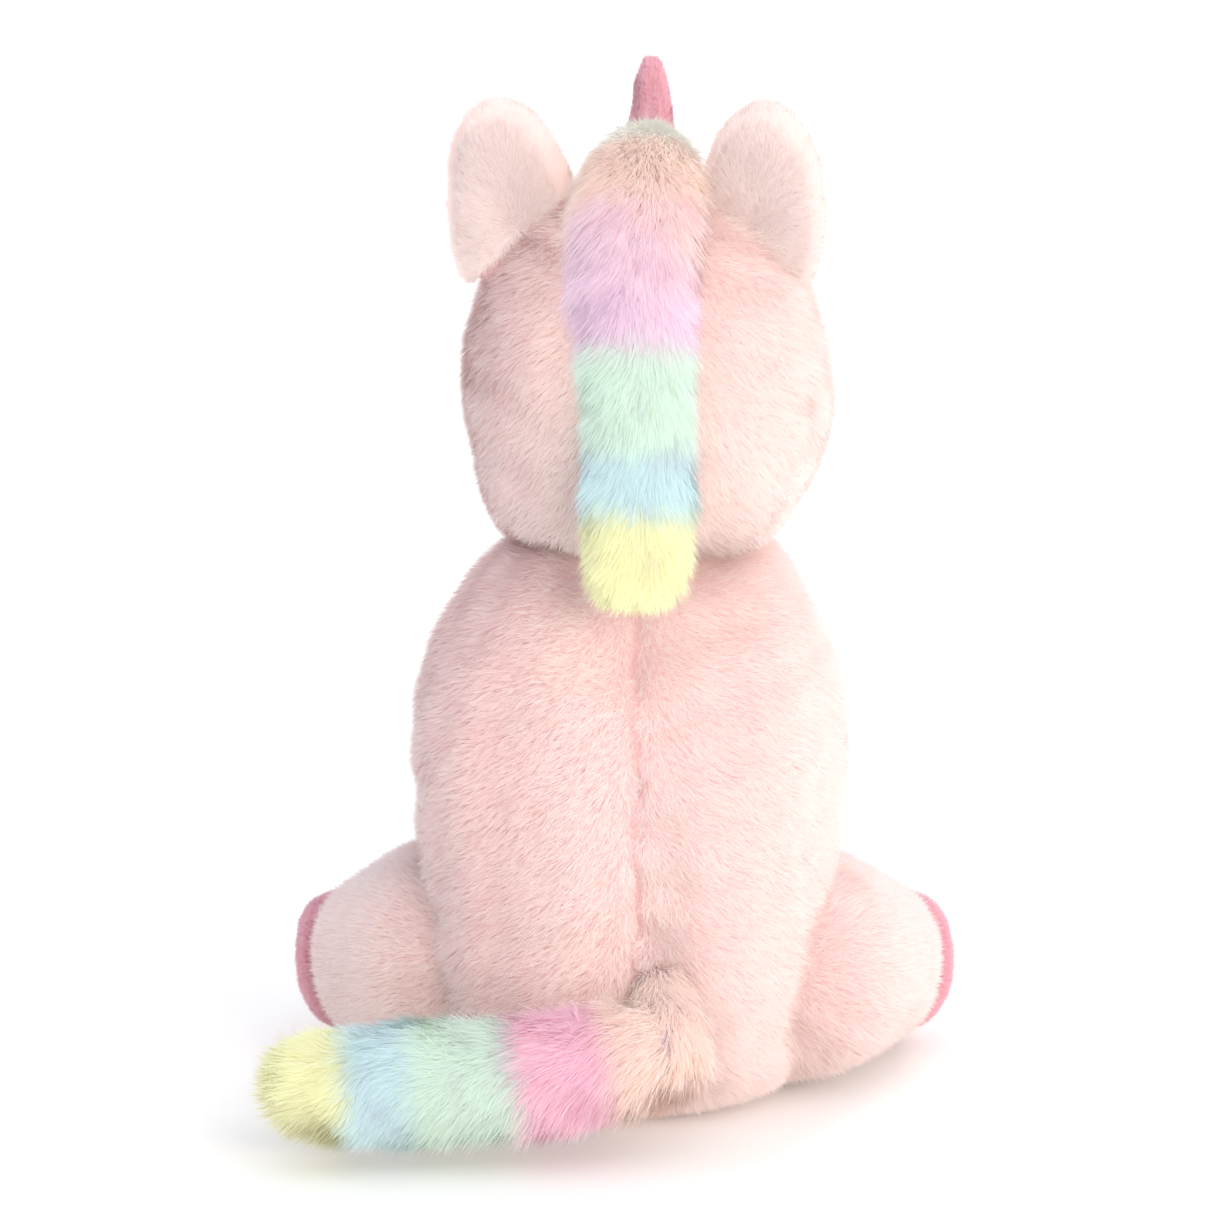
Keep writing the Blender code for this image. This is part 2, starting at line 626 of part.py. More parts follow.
build_body()
build_head()
build_stitched_face()
ear_room = add_cutter("ear_room", grown(HEAD_FORM, "ear_room", EAR_CLEARANCE))
for on_right in (False, True):
    build_ear(on_right, ear_room)
    HIND_LEG.build(on_right)
    FRONT_LEG.build(on_right)
build_horn()
build_mane()
build_tail()
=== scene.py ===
"""The plush unicorn's looks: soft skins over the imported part, covered in combed pile.

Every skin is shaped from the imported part's own points. The pile is mesh: each hair is a thin
kite or a short strip, rooted on a skin and combed along it.
"""

import json
import math

import bmesh
import bpy
import numpy as np
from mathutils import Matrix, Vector


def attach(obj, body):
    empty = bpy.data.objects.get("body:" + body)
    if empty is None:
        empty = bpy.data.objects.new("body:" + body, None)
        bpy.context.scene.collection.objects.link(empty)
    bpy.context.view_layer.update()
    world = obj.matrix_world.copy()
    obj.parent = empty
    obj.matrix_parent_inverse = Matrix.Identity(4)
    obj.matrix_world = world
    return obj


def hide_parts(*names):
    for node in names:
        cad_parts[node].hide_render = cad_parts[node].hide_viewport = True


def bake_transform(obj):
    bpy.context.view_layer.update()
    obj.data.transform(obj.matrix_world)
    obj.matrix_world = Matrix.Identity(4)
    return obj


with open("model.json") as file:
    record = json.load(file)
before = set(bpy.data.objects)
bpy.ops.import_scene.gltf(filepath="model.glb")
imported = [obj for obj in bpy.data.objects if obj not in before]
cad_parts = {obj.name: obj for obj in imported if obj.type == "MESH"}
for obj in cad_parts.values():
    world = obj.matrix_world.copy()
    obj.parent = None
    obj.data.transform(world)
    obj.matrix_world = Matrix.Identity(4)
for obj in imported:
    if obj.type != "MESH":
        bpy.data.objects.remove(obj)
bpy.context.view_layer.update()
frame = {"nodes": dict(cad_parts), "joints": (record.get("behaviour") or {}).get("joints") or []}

MM = 0.001
FLOOR_GAP = 1.2 * MM  # skins stay this far above the floor, and their pile reaches it
HEAD_TURN, HEAD_SHIFT = math.radians(-4.3), -5.0 * MM  # how the head rests on the neck
EAR_SHIFT = np.array([2.5 * MM, 0, -1.5 * MM])
STITCH_LIFT = np.array([0, -3.2 * MM, 0])
RIGHT_LEG_BACK = np.array([0, 5 * MM, 0])  # the right hind leg rests this much further back
MANE_SPLIT, TAIL_SPLIT = 0.236, 0.048  # the height and the reach where their piles change piece


# ---------------------------------------------------------------- small helpers
def unit(vectors):
    return vectors / np.maximum(np.linalg.norm(vectors, axis=-1, keepdims=True), 1e-9)


def smooth_step(value, low, high):
    t = np.clip((value - low) / (high - low), 0.0, 1.0)
    return t * t * (3 - 2 * t)


def node_points(*nodes):
    """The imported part's own vertices for these nodes, as one array."""
    found = []
    for node in nodes:
        mesh = frame["nodes"][node].data
        points = np.empty(len(mesh.vertices) * 3, np.float32)
        mesh.vertices.foreach_get("co", points)
        found.append(points.reshape(-1, 3).astype(float))
    return np.concatenate(found)


def ripple(points, wavelength, seed, count=6):
    """A smooth vector field, about -1 to 1 in each part, that changes over this wavelength."""
    rng = np.random.default_rng(seed)
    pitch = 2 * math.pi / wavelength
    waves = unit(rng.normal(size=(count, 3))) * pitch * rng.uniform(0.6, 1.4, (count, 1))
    phase = rng.uniform(0, 2 * math.pi, (count, 3))
    turned = points @ waves.T
    field = np.zeros((len(points), 3))
    for k in range(count):
        field += np.sin(turned[:, k, None] + phase[k])
    return field / math.sqrt(count)


def tufts(points, size, seed):
    """The nearest of a jittered grid of tuft centres, and a random number for each tuft."""
    cell = np.floor(points / size).astype(np.int64)
    best = np.full(len(points), 1e9)
    centre, number = np.zeros_like(points), np.zeros(len(points))
    for shift in np.ndindex(3, 3, 3):
        there = cell + np.array(shift) - 1
        mixed = (there * np.array([73856093, 19349663, 83492791]) + seed * 7919).astype(np.uint64)
        spots = []
        for salt in (1, 2, 3, 4):
            h = mixed[:, 0] ^ mixed[:, 1] ^ mixed[:, 2] ^ np.uint64(salt * 2654435761)
            h = (h ^ (h >> np.uint64(15))) * np.uint64(2246822519)
            h = (h ^ (h >> np.uint64(13))) * np.uint64(3266489917)
            spots.append(((h ^ (h >> np.uint64(16))) & np.uint64(0xFFFFFF)).astype(float) / 0xFFFFFF)
        spot = (there + np.stack(spots[:3], 1)) * size
        distance = np.linalg.norm(points - spot, axis=1)
        nearer = distance < best
        best = np.where(nearer, distance, best)
        centre[nearer] = spot[nearer]
        number[nearer] = spots[3][nearer]
    return centre, number


def linear(hex_colour):
    """An sRGB hex colour as linear RGB."""
    parts = [int(hex_colour[k : k + 2], 16) / 255 for k in (0, 2, 4)]
    return [p / 12.92 if p <= 0.04045 else ((p + 0.055) / 1.055) ** 2.4 for p in parts]


# ---------------------------------------------------------------- materials
def shader_material(name, roughness, sheen=0.0, specular=0.25):
    made = bpy.data.materials.new(name)
    made.use_nodes = True
    shader = made.node_tree.nodes["Principled BSDF"]
    shader.inputs["Roughness"].default_value = roughness
    shader.inputs["Sheen Weight"].default_value = sheen
    shader.inputs["Sheen Roughness"].default_value = 0.5
    shader.inputs["Specular IOR Level"].default_value = specular
    return made, made.node_tree, shader


def link(tree, source, target):
    tree.links.new(source, target)


def ramp(tree, stops, source, easing="LINEAR"):
    node = tree.nodes.new("ShaderNodeValToRGB")
    node.color_ramp.interpolation = easing
    while len(node.color_ramp.elements) < len(stops):
        node.color_ramp.elements.new(0.5)
    for element, (place, colour) in zip(node.color_ramp.elements, stops):
        element.position = place
        element.color = (*colour, 1.0)
    link(tree, source, node.inputs["Fac"])
    return node.outputs["Color"]


def mix(tree, blend_type, share, first, second):
    node = tree.nodes.new("ShaderNodeMix")
    node.data_type = "RGBA"
    node.blend_type = blend_type
    node.inputs["Factor"].default_value = share
    for socket, value in ((node.inputs["A"], first), (node.inputs["B"], second)):
        if isinstance(value, bpy.types.NodeSocket):
            link(tree, value, socket)
        else:
            socket.default_value = (*value, 1.0)
    return node.outputs["Result"]


def pile_material(name, along, root_to_tip, roughness=0.75, sheen=0.25):
    """Hair coloured by its own map: u picks the dye, v runs from the painted shade at the root to the light
    tip.
    """
    made, tree, shader = shader_material(name, roughness, sheen)
    uv = tree.nodes.new("ShaderNodeUVMap")
    uv.uv_map = "OFBake"
    split = tree.nodes.new("ShaderNodeSeparateXYZ")
    link(tree, uv.outputs["UV"], split.inputs["Vector"])
    dye = ramp(tree, along, split.outputs["X"])
    shade = ramp(tree, root_to_tip, split.outputs["Y"])
    link(tree, mix(tree, "MULTIPLY", 1.0, dye, shade), shader.inputs["Base Color"])
    return made


def cloth_material(name, colour, deeper, scale=900, bump=0.3):
    """The backing cloth under the pile: a fine uneven weave."""
    made, tree, shader = shader_material(name, 0.9, 0.2)
    place = tree.nodes.new("ShaderNodeTexCoord")
    noise = tree.nodes.new("ShaderNodeTexNoise")
    noise.inputs["Scale"].default_value = scale
    noise.inputs["Detail"].default_value = 3
    link(tree, place.outputs["Object"], noise.inputs["Vector"])
    tone = ramp(tree, [(0.3, deeper), (0.7, colour)], noise.outputs["Fac"])
    link(tree, tone, shader.inputs["Base Color"])
    raise_by = tree.nodes.new("ShaderNodeBump")
    raise_by.inputs["Strength"].default_value = bump
    raise_by.inputs["Distance"].default_value = 0.0004
    link(tree, noise.outputs["Fac"], raise_by.inputs["Height"])
    link(tree, raise_by.outputs["Normal"], shader.inputs["Normal"])
    return made


WHITE = (1.0, 1.0, 1.0)
PINK_DYES = [(0.0, linear("fff4f1")), (0.5, linear("fff9f6")), (1.0, linear("fffefc"))]
# Root-to-tip ramps: the darker roots are painted shade, the shade down in the pile, as the hairs cast no
# shadow.
SHADE_PLACES = (0.0, 0.35, 0.7, 1.0)
PINK_SHADE = list(zip(SHADE_PLACES, map(linear, ("f6d0d0", "fbe2e0", "fff1ed", "fff5f2"))))
# The ears' ramp is a lighter copy of the pink one: painted light on the ears.
EAR_PAINTED_LIGHT_RAMP = list(zip(SHADE_PLACES, map(linear, ("f8d8d7", "fdedeb", "fff6f4", "fff8f6"))))
ROSE_DYES = [(0.0, linear("f4bcc7")), (0.5, linear("f9cbd3")), (1.0, linear("fddde3"))]
ROSE_SHADE = [(0.0, linear("ecb0bd")), (0.6, linear("fae2e6")), (1.0, WHITE)]
LONG_SHADE = [(0.0, linear("e2d6e6")), (0.3, linear("f6f1f7")), (0.7, WHITE), (1.0, WHITE)]
YELLOW, PEACH, PINK, LILAC = map(linear, ("fbfacd", "ffe8dc", "fee4ea", "fbe3f1"))
MINT, BLUE, CREAM, TAIL_PINK = map(linear, ("e5f5e6", "dcf0f1", "fffdf4", "fdd0de"))


# ---------------------------------------------------------------- skins
def link_mesh(name, mesh, material):
    obj = bpy.data.objects.new(name, mesh)
    mesh.materials.clear()
    mesh.materials.append(material)
    bpy.context.scene.collection.objects.link(obj)
    return obj


def hull_mesh(name, points):
    bm = bmesh.new()
    for point in points:
        bm.verts.new(point)
    bmesh.ops.convex_hull(bm, input=bm.verts)
    bmesh.ops.delete(bm, geom=[v for v in bm.verts if not v.link_faces], context="VERTS")
    bmesh.ops.recalc_face_normals(bm, faces=bm.faces)
    mesh = bpy.data.meshes.new(name)
    bm.to_mesh(mesh)
    bm.free()
    return mesh


def ball_points(centre, radii, segments=24, rings=12):
    around = np.linspace(0, 2 * math.pi, segments, endpoint=False)
    up = np.linspace(-math.pi / 2, math.pi / 2, rings + 1)
    a, b = np.meshgrid(around, up)
    unit_points = np.stack([np.cos(a) * np.cos(b), np.sin(a) * np.cos(b), np.sin(b)], -1).reshape(-1, 3)
    return unit_points * np.array(radii) + np.array(centre)


def merged(name, meshes):
    bm = bmesh.new()
    for mesh in meshes:
        bm.from_mesh(mesh)
    result = bpy.data.meshes.new(name)
    bm.to_mesh(result)
    bm.free()
    return result


def evaluated(obj):
    graph = bpy.context.evaluated_depsgraph_get()
    return bpy.data.meshes.new_from_object(obj.evaluated_get(graph), depsgraph=graph)


def skin_object(name, meshes, material, voxel=2.6 * MM, smooth=8, inset=0.0):
    """One closed soft skin round these closed meshes, remeshed evenly and eased at every edge."""
    obj = link_mesh(name, merged(name, meshes), material)
    remesh = obj.modifiers.new("even", "REMESH")
    remesh.mode = "VOXEL"
    remesh.voxel_size = voxel
    remesh.use_smooth_shade = True
    ease = obj.modifiers.new("ease", "SMOOTH")
    ease.factor = 0.5
    ease.iterations = smooth
    mesh = evaluated(obj)
    obj.modifiers.clear()
    obj.data = mesh
    mesh.materials.clear()
    mesh.materials.append(material)
    if inset:
        skin = Skin(obj)
        skin.move(-inset * skin.normals)
    return obj


class Skin:
    """A skin's points, normals and triangles as arrays, so that pile can be rooted on it."""

    def __init__(self, obj):
        self.obj = obj
        self.read()

    def read(self):
        mesh = self.obj.data
        self.points = np.empty(len(mesh.vertices) * 3, np.float32)
        mesh.vertices.foreach_get("co", self.points)
        self.points = self.points.reshape(-1, 3).astype(float)
        self.normals = np.empty(len(mesh.vertices) * 3, np.float32)
        mesh.vertex_normals.foreach_get("vector", self.normals)
        self.normals = self.normals.reshape(-1, 3).astype(float)
        mesh.calc_loop_triangles()
        self.triangles = np.empty(len(mesh.loop_triangles) * 3, np.int32)
        mesh.loop_triangles.foreach_get("vertices", self.triangles)
        self.triangles = self.triangles.reshape(-1, 3)

    def move(self, offsets):
        mesh = self.obj.data
        mesh.vertices.foreach_set("co", (self.points + offsets).astype(np.float32).ravel())
        mesh.update()
        self.read()

    def scatter(self, rng, count, weight=None):
        """Roots spread evenly over the skin, with the skin's normal at each."""
        corners = self.points[self.triangles]
        area = np.linalg.norm(np.cross(corners[:, 1] - corners[:, 0], corners[:, 2] - corners[:, 0]), axis=1)
        if weight is not None:
            area = area * weight(corners.mean(1))
        total = np.cumsum(area)
        pick = np.searchsorted(total / total[-1], (np.arange(count) + rng.random(count)) / count)
        pick = np.minimum(pick, len(area) - 1)
        a, b = np.sqrt(rng.random(count)), rng.random(count)
        share = np.stack([1 - a, a * (1 - b), a * b], 1)[:, :, None]
        chosen = self.triangles[pick]
        return (self.points[chosen] * share).sum(1), unit((self.normals[chosen] * share).sum(1))


class Hull:
    """A convex form, to tell how deep a point lies inside it."""

    def __init__(self, points):
        mesh = hull_mesh("hull", points)
        self.normals = np.array([p.normal for p in mesh.polygons])
        self.offsets = np.array([p.normal.dot(p.center) for p in mesh.polygons])
        bpy.data.meshes.remove(mesh)

    def depth(self, points):
        deepest = np.full(len(points), 1e9)
        for normal, offset in zip(self.normals, self.offsets):
            deepest = np.minimum(deepest, offset - points @ normal)
        return deepest


# ---------------------------------------------------------------- pile
def strand_mesh(name, lines, widths, across, normals, dye, shade, even, material):
    """A mesh of hairs. lines is hairs by stations by 3, widths is hairs by inner stations.
    even is how little of each hair's painted root shade shows."""
    count, stations = lines.shape[:2]
    inner = stations - 2
    per_hair = 2 + 2 * inner
    points = np.empty((count, per_hair, 3))
    points[:, 0], points[:, -1] = lines[:, 0], lines[:, -1]
    for k in range(inner):
        half = across * widths[:, k, None] / 2
        points[:, 1 + 2 * k] = lines[:, k + 1] - half
        points[:, 2 + 2 * k] = lines[:, k + 1] + half
    pattern = [(0, 2, 1)]
    for k in range(inner - 1):
        left, right = 1 + 2 * k, 2 + 2 * k
        pattern += [(left, right, right + 2), (left, right + 2, left + 2)]
    pattern.append((per_hair - 3, per_hair - 2, per_hair - 1))
    pattern = np.array(pattern)
    faces = (np.arange(count)[:, None, None] * per_hair + pattern[None]).reshape(-1, 3)

    mesh = bpy.data.meshes.new(name)
    mesh.vertices.add(count * per_hair)
    mesh.vertices.foreach_set("co", points.astype(np.float32).ravel())
    mesh.loops.add(len(faces) * 3)
    mesh.loops.foreach_set("vertex_index", faces.astype(np.int32).ravel())
    mesh.polygons.add(len(faces))
    mesh.polygons.foreach_set("loop_start", np.arange(0, len(faces) * 3, 3, dtype=np.int32))
    mesh.polygons.foreach_set("loop_total", np.full(len(faces), 3, np.int32))
    mesh.update(calc_edges=True)

    sway, rise = np.full(per_hair, 0.0), np.zeros(per_hair)
    rise[-1] = 1.0
    for k in range(inner):
        sway[1 + 2 * k], sway[2 + 2 * k] = -0.004, 0.004
        rise[1 + 2 * k] = rise[2 + 2 * k] = (k + 1) / (stations - 1)
    u = np.clip(dye[:, None] + sway, 0.006, 0.994)
    shown = even[:, None] + (1 - even[:, None]) * rise
    v = np.clip(0.02 + 0.96 * shown * (0.35 + 0.65 * shade[:, None]), 0.01, 0.99)
    spots = np.stack([u, v], -1).reshape(-1, 2)[faces.ravel()]
    mesh.uv_layers.new(name="OFBake").data.foreach_set("uv", spots.astype(np.float32).ravel())
    mesh.shade_smooth()
    mesh.normals_split_custom_set_from_vertices(np.repeat(normals, per_hair, 0).astype(np.float32))
    obj = link_mesh(name, mesh, material)
    obj.visible_shadow = False  # hairs let light through; the skin under them casts the shadow
    return obj


class Coat:
    """How one kind of pile grows."""

    def __init__(self, length, width, lean, stations=3, tuft=1.8 * MM, gather=0.3, ruffle=0.35, uneven=0.25,
                 droop=0.0, soft=0.6, glow=0.0):  # fmt: skip
        self.length, self.width, self.lean, self.droop = length, width, lean, droop
        self.stations, self.tuft, self.gather = stations, tuft, gather
        self.ruffle, self.uneven = ruffle, uneven
        self.soft = soft  # 1 lights a hair like the skin under it, 0 like its own flat blade
        self.glow = glow  # long thin tufts pass light on, so they look lit from above and behind


SHORT_PILE = Coat(5.0 * MM, 0.13 * MM, (0.50, 0.95), tuft=1.5 * MM, gather=0.06, ruffle=0.25, soft=0.42)
EAR_PILE = Coat(4.6 * MM, 0.14 * MM, (0.55, 1.0), tuft=1.4 * MM, gather=0.06, ruffle=0.2, soft=0.55)
LINING_PILE = Coat(3.2 * MM, 0.24 * MM, (0.5, 0.9))
VELOUR = Coat(2.2 * MM, 0.17 * MM, (0.35, 0.8), tuft=1.2 * MM, gather=0.3)
HORN_VELOUR = Coat(1.9 * MM, 0.16 * MM, (0.5, 1.1), tuft=1.0 * MM)
LONG_PILE = Coat(12.0 * MM, 0.20 * MM, (0.35, 1.0), stations=4, tuft=2.4 * MM, gather=0.22, ruffle=0.2,
                 droop=0.45, glow=0.35)  # fmt: skip


def grow(name, skin, count, coat, comb, material, seed, weight=None, dye=None, length=None, deep=None,
         lay=None, smooth=None):  # fmt: skip
    """Pile over a skin. comb gives each root's direction, weight where it grows, dye its colour,
    deep how much painted shade it takes, as in a crease, and below 0 how much painted light, lay how
    much flatter it lies, and smooth how little of the painted root shade and random streaks shows,
    from 1 down to below 0 where they show most."""
    rng = np.random.default_rng(seed)
    roots, normals = skin.scatter(rng, count, weight)
    centres, number = tufts(roots, coat.tuft, seed)
    direction = comb(roots, normals) + coat.ruffle * ripple(roots, 14 * MM, seed + 1)
    direction += 0.16 * ripple(centres, 2.5 * MM, seed + 2) + 0.20 * rng.normal(size=roots.shape)
    direction = unit(direction - normals * (direction * normals).sum(1, keepdims=True))
    long = coat.length * (1 + coat.uneven * (rng.random(count) - 0.5) * 2) * (0.9 + 0.2 * number)
    if length is not None:
        long = long * length(roots)
    lean = np.array(coat.lean)[None] + 0.17 * rng.normal(size=(count, 1)) + 0.14 * (number[:, None] - 0.5)
    if lay is not None:
        lean = lean + lay(roots)[:, None]
    steps = coat.stations - 1
    lines = np.empty((count, coat.stations, 3))
    lines[:, 0] = roots - normals * 0.4 * MM
    for k in range(steps):
        share = k / max(steps - 1, 1)
        angle = np.clip(lean[:, 0] * (1 - share) + lean[:, 1] * share, 0.0, 1.45)[:, None]
        ahead = normals * np.cos(angle) + direction * np.sin(angle)
        ahead = unit(ahead - np.array([0.0, 0.0, coat.droop * share]))
        lines[:, k + 1] = lines[:, k] + ahead * (long / steps)[:, None]
    pull = centres - roots
    pull -= normals * (pull * normals).sum(1, keepdims=True)
    for k in range(1, coat.stations):
        lines[:, k] += pull * coat.gather * (k / steps) ** 1.5
    along = unit(lines[:, -1] - lines[:, 0])
    across = unit(np.cross(along, normals))
    twist = rng.uniform(-0.35, 0.35, count)[:, None]
    across = across * np.cos(twist) + np.cross(along, across) * np.sin(twist)
    taper = np.linspace(1.0, 0.8, coat.stations - 2)[None]
    widths = coat.width * (0.75 + 0.5 * rng.random((count, 1))) * taper
    blade = unit(np.cross(across, along))
    blade *= np.sign((blade * normals).sum(1, keepdims=True))
    facing = unit(coat.soft * normals + (1 - coat.soft) * blade + coat.glow * np.array([0.0, 0.6, 0.5]))
    even = np.zeros(count) if smooth is None else smooth(roots)
    # Where more of the painted root shade shows, the random tone streaks grow stronger as well.
    uneven = 1.35 - 0.9 * even if smooth is not None else 1.0
    patches = 0.10 * ripple(roots, 9 * MM, seed + 4)[:, 0]
    tone = 0.72 + uneven * (0.12 * rng.normal(size=count) + 0.12 * (number - 0.5) + patches)
    if deep is not None:
        tone = tone - deep(roots)
    # Painted shade: in patches of the long pile the hairs take more of their darker root colour, the shade in
    # partings between the tufts.
    if coat.stations > 3:
        tone = tone - 0.55 * np.clip(ripple(centres, 11 * MM, seed % 7)[:, 1] - 0.25, 0, 1)
    tone = np.clip(tone, 0.0, 1.0)
    if dye is None:
        colour = np.clip(0.5 + 0.22 * rng.normal(size=count), 0, 1)
    else:
        colour = dye(roots, rng)
    return strand_mesh(name, lines, widths, across, facing, colour, tone, even, material)


# ---------------------------------------------------------------- the toy's forms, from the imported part
LEGS = ("front_leg_left", "front_leg_right", "hind_leg_left", "hind_leg_right")
BODY_NODES = ("belly_panel", "body_back_left", "body_back_right", "seat_panel")
HEAD_NODES = ("head_left", "head_right")
PILE_ROOM = 2.4 * MM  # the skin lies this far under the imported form, and its pile fills the room

body_low, body_high = node_points(*BODY_NODES).min(0), node_points(*BODY_NODES).max(0)
head_low, head_high = node_points(*HEAD_NODES).min(0), node_points(*HEAD_NODES).max(0)
neck_top = ball_points((0, 0, body_high[2] - 2 * MM), (0.042, 0.040, 0.018))
head_floor = ball_points((0, -0.004, head_low[2] + 4 * MM), (0.038, 0.037, 0.014))
muzzle_low, muzzle_high = node_points("muzzle_cover").min(0), node_points("muzzle_cover").max(0)
muzzle_radii = np.array([(muzzle_high[0] - muzzle_low[0]) / 2, 0.027, (muzzle_high[2] - muzzle_low[2]) / 2])
MUZZLE_CENTRE = np.array([0, muzzle_low[1] + muzzle_radii[1], (muzzle_low[2] + muzzle_high[2]) / 2])

BODY_HULL_POINTS = np.concatenate([node_points(*BODY_NODES), neck_top])
HEAD_HULL_POINTS = np.concatenate([node_points(*HEAD_NODES), head_floor])
BODY_HULL, HEAD_HULL = Hull(BODY_HULL_POINTS), Hull(HEAD_HULL_POINTS)
LEG_POINTS = {leg: node_points(leg + "_cover", leg + "_hoof", leg + "_sole") for leg in LEGS}
LEG_HULLS = {leg: Hull(points) for leg, points in LEG_POINTS.items()}

CLOTH = cloth_material("pink_backing", linear("f6d3d1"), linear("eab9ba"))
ROSE_CLOTH = cloth_material("rose_backing", linear("efb0be"), linear("e097aa"))
MANE_CLOTH = cloth_material("mane_backing", linear("e9dcea"), linear("d9cbe0"))
PINK_PILE = pile_material("pink_pile", PINK_DYES, PINK_SHADE)
# Painted light: the ears' pile is the pink pile with the lighter ramp.
EAR_PAINTED_LIGHT_PILE = pile_material("ear_pile", PINK_DYES, EAR_PAINTED_LIGHT_RAMP)
ROSE_PILE = pile_material("rose_pile", ROSE_DYES, ROSE_SHADE, roughness=0.6, sheen=0.5)
HORN_DYES = [(0.0, linear("f4c6cf")), (0.5, linear("f9d6dc")), (1.0, linear("fde6ea"))]
HORN_PILE = pile_material("horn_velour", HORN_DYES, ROSE_SHADE, roughness=0.6, sheen=0.5)

NECK = np.array(next(j for j in frame["joints"] if j["name"] == "head_nod")["pos_m"])


def settled(points):
    """The head sits a little to the toy's right and turned that way, easing in above the neck."""
    weight = smooth_step(points[:, 2], NECK[2] - 6 * MM, NECK[2] + 32 * MM)[:, None]
    across, back = points[:, 0], points[:, 1] - NECK[1]
    turned = points.copy()
    turned[:, 0] = across * math.cos(HEAD_TURN) - back * math.sin(HEAD_TURN) + HEAD_SHIFT
    turned[:, 1] = across * math.sin(HEAD_TURN) + back * math.cos(HEAD_TURN) + NECK[1]
    return points + (turned - points) * weight


def fuller(points):
    """The neck and shoulder bulge a little on the toy's right, as the head rests that way."""
    side = smooth_step(-points[:, 0], 0.005, 0.030)
    height = points[:, 2]
    band = smooth_step(height, 0.080, 0.105) * (1 - smooth_step(height, 0.195, 0.220))
    push = 1.8 * band + 2.1 * np.exp(-(((height - 0.163) / 0.024) ** 2))
    return np.stack([-side * push * MM, np.zeros(len(points)), np.zeros(len(points))], 1)


def painted_light_by_side(roots):
    """Painted light and shade by side: the hairs' painted root shade and random streaks show little over the
    middle and the toy's right, the lit side, and strongly on its left, the shaded side.
    """
    return 0.65 - 0.95 * smooth_step(roots[:, 0], 0.012, 0.038)


def skin_of(name, meshes, material=CLOTH, **options):
    return Skin(skin_object(name, meshes, material, **options))


def rest_on_floor(skin):
    flat = skin.points.copy()
    flat[:, 2] = np.maximum(flat[:, 2], FLOOR_GAP)
    skin.move(flat - skin.points)


def build_body():
    skin = skin_of("body_skin", [hull_mesh("body", BODY_HULL_POINTS)], inset=PILE_ROOM)
    x, y, z = skin.points.T
    groove = np.exp(-((x / (1.9 * MM)) ** 2)) * (y > 0) * smooth_step(z, 0.006, 0.020)
    groove *= 0.75 + 0.45 * np.sin(z / (3.1 * MM)) * np.sin(z / (7.7 * MM) + 1.0)
    valley = np.exp(-((x / (11 * MM)) ** 2)) * (y > 0) * (0.35 + 0.65 * np.exp(-(((z - 0.045) / 0.025) ** 2)))
    buttock = np.exp(-(((abs(x) - 0.027) / 0.018) ** 2) - (((z - 0.040) / 0.022) ** 2)) * (y > 0)
    lumps = ripple(skin.points, 42 * MM, 3)[:, 0] * 1.0 + ripple(skin.points, 21 * MM, 4)[:, 0] * 0.45
    rise = buttock * 2.2 - groove * 2.8 - valley * 1.3 + lumps * smooth_step(z, 0.010, 0.025)
    skin.move(skin.normals * (rise * MM)[:, None])
    skin.move(fuller(skin.points))
    rest_on_floor(skin)
    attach(skin.obj, "torso")
    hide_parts(*BODY_NODES, "body_stuffing", "pellet_pouch", "pellets", "neck_thread")

    def comb(roots, normals):
        away = np.stack([np.tanh(roots[:, 0] / 0.012), np.zeros(len(roots)), np.zeros(len(roots))], 1)
        return np.array([0.0, 0.0, -0.6]) + 0.9 * away

    def bare(points):
        inside_legs = np.max([LEG_HULLS[leg].depth(points) for leg in LEGS], 0)
        covered = (inside_legs > 7 * MM) | (HEAD_HULL.depth(points) > 9 * MM)
        return np.where(covered, 0.0, 1.0)

    def seam_at(roots):
        wander = 0.7 * MM * np.sin(roots[:, 2] / (6.3 * MM)) + 0.4 * MM * np.sin(roots[:, 2] / (2.1 * MM))
        return np.exp(-(((roots[:, 0] - wander) / (1.5 * MM)) ** 2)) * (roots[:, 1] > 0)

    def shorter(roots):
        floor = 1 - smooth_step(roots[:, 2], 0.001, 0.010)
        return (1 - 0.65 * seam_at(roots)) * (1 - 0.55 * floor)

    # Painted shade: along the seam's line of dimples, in the creases at the neck and round the legs, and in a
    # patch under the mane's tip, the hairs take more of their darker root colour.
    def deep(roots):
        dimples = 0.65 + 0.35 * np.sin(roots[:, 2] / (1.9 * MM)) * np.sin(roots[:, 2] / (5.3 * MM))
        neck = np.exp(-(((HEAD_HULL.depth(roots) + 1 * MM) / (3 * MM)) ** 2))
        legs = sum(np.exp(-((LEG_HULLS[leg].depth(roots) / (3 * MM)) ** 2)) for leg in LEGS)
        under_mane_shade = np.exp(-((roots[:, 0] / 0.010) ** 2) - (((roots[:, 2] - 0.137) / 0.010) ** 2))
        under_mane_shade = under_mane_shade * (roots[:, 1] > 0)
        return 0.8 * seam_at(roots) * dimples + 0.05 * neck + 0.05 * np.clip(legs, 0, 1) + 0.22 * under_mane_shade

    zones = {
        "body_pile_left": lambda p: (p[:, 0] >= 0) & (p[:, 1] > -0.01),
        "body_pile_right": lambda p: (p[:, 0] < 0) & (p[:, 1] > -0.01),
        "body_pile_belly": lambda p: p[:, 1] <= -0.01,
    }
    for number, (name, zone) in enumerate(zones.items()):
        weight = lambda points, zone=zone: bare(points) * zone(points)
        coat = grow(name, skin, 99000, SHORT_PILE, comb, PINK_PILE, 11 + number, weight, length=shorter,
                    deep=deep, smooth=lambda p: painted_light_by_side(p) * (1 - seam_at(p)))  # fmt: skip
        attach(coat, "torso")


